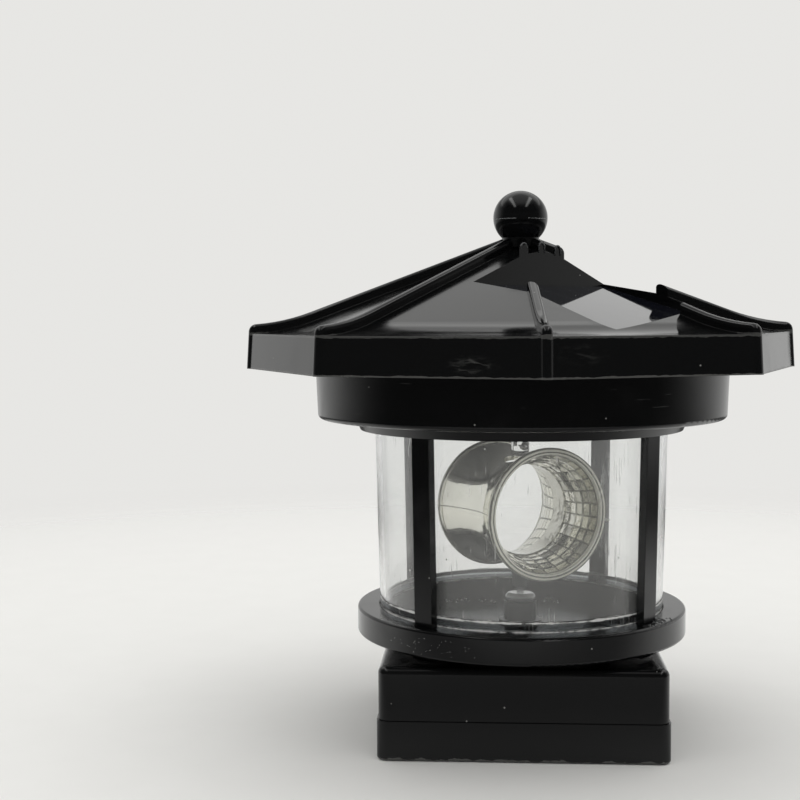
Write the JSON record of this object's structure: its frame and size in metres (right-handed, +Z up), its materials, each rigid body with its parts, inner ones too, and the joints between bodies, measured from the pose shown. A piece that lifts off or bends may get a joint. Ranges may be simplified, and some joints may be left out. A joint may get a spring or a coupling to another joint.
{
  "type": "garden lighthouse lantern head",
  "caption": "Solar garden lighthouse lantern head: square base, dished deck, clear lens tube between flat posts, turning clear reflector, round drum and ridged octagonal roof with ball",
  "frame": {"origin": "centre of the flat underside of the square base, on the surface the part stands on", "axes": "+Z up through the deck, lens, roof and ball; the base's sides lie along X and Y; the front seen in the picture faces -Y, and the solar panel is at the front right"},
  "size_m": [0.1498, 0.1498, 0.1466],
  "materials": {
    "black_shell": "glossy moulded black ABS",
    "dark_bearing": "dark acetal, satin",
    "clear_plastic": "clear moulded polystyrene",
    "clear_lamp": "water-clear epoxy lamp",
    "circuit_board": "green board with parts",
    "solar_cell": "glossy dark cell under clear resin",
    "gear_housing": "natural moulded acetal",
    "motor_can": "zinc-plated drawn can",
    "steel": "zinc-plated steel",
    "contact_metal": "nickel-plated strip and wire",
    "cell_sleeve": "plain shrink sleeve",
    "switch_plastic": "black nylon"
  },
  "bodies": {
    "head": {"base_tray": "black_shell", "base_cover": "black_shell", "base_screws": "steel", "battery_door": "black_shell", "battery_door_screw": "steel", "battery_cell": "cell_sleeve", "contact_plates": "contact_metal", "contact_spring": "contact_metal", "switch_body": "switch_plastic", "control_board": "circuit_board", "board_screws": "steel", "gearbox": "gear_housing", "gearbox_screws": "steel", "gear_motor": "motor_can", "deck": "black_shell", "deck_screws": "steel", "bearing_post": "dark_bearing", "lens_tube": "clear_plastic", "post_cage": "black_shell", "lamp_drum": "black_shell", "cage_screws": "steel", "led": "clear_lamp", "led_holder": "dark_bearing", "led_board": "circuit_board", "roof_shell": "black_shell", "roof_screws": "steel", "solar_panel": "solar_cell", "finial_ball": "black_shell"},
    "beacon": {"rotor_shaft": "steel", "rotor_hub": "clear_plastic", "reflector": "clear_plastic"},
    "knob": {"switch_knob": "switch_plastic"}
  },
  "joints": [
    {"name": "beacon_turn", "type": "hinge", "parent": "head", "child": "beacon", "pos_m": [0, 0, 0.03], "axis": [0, 0, 1], "continuous": true},
    {"name": "switch_slide", "type": "slide", "parent": "head", "child": "knob", "axis": [1, 0, 0], "range_m": [0, 0.003]}
  ]
}
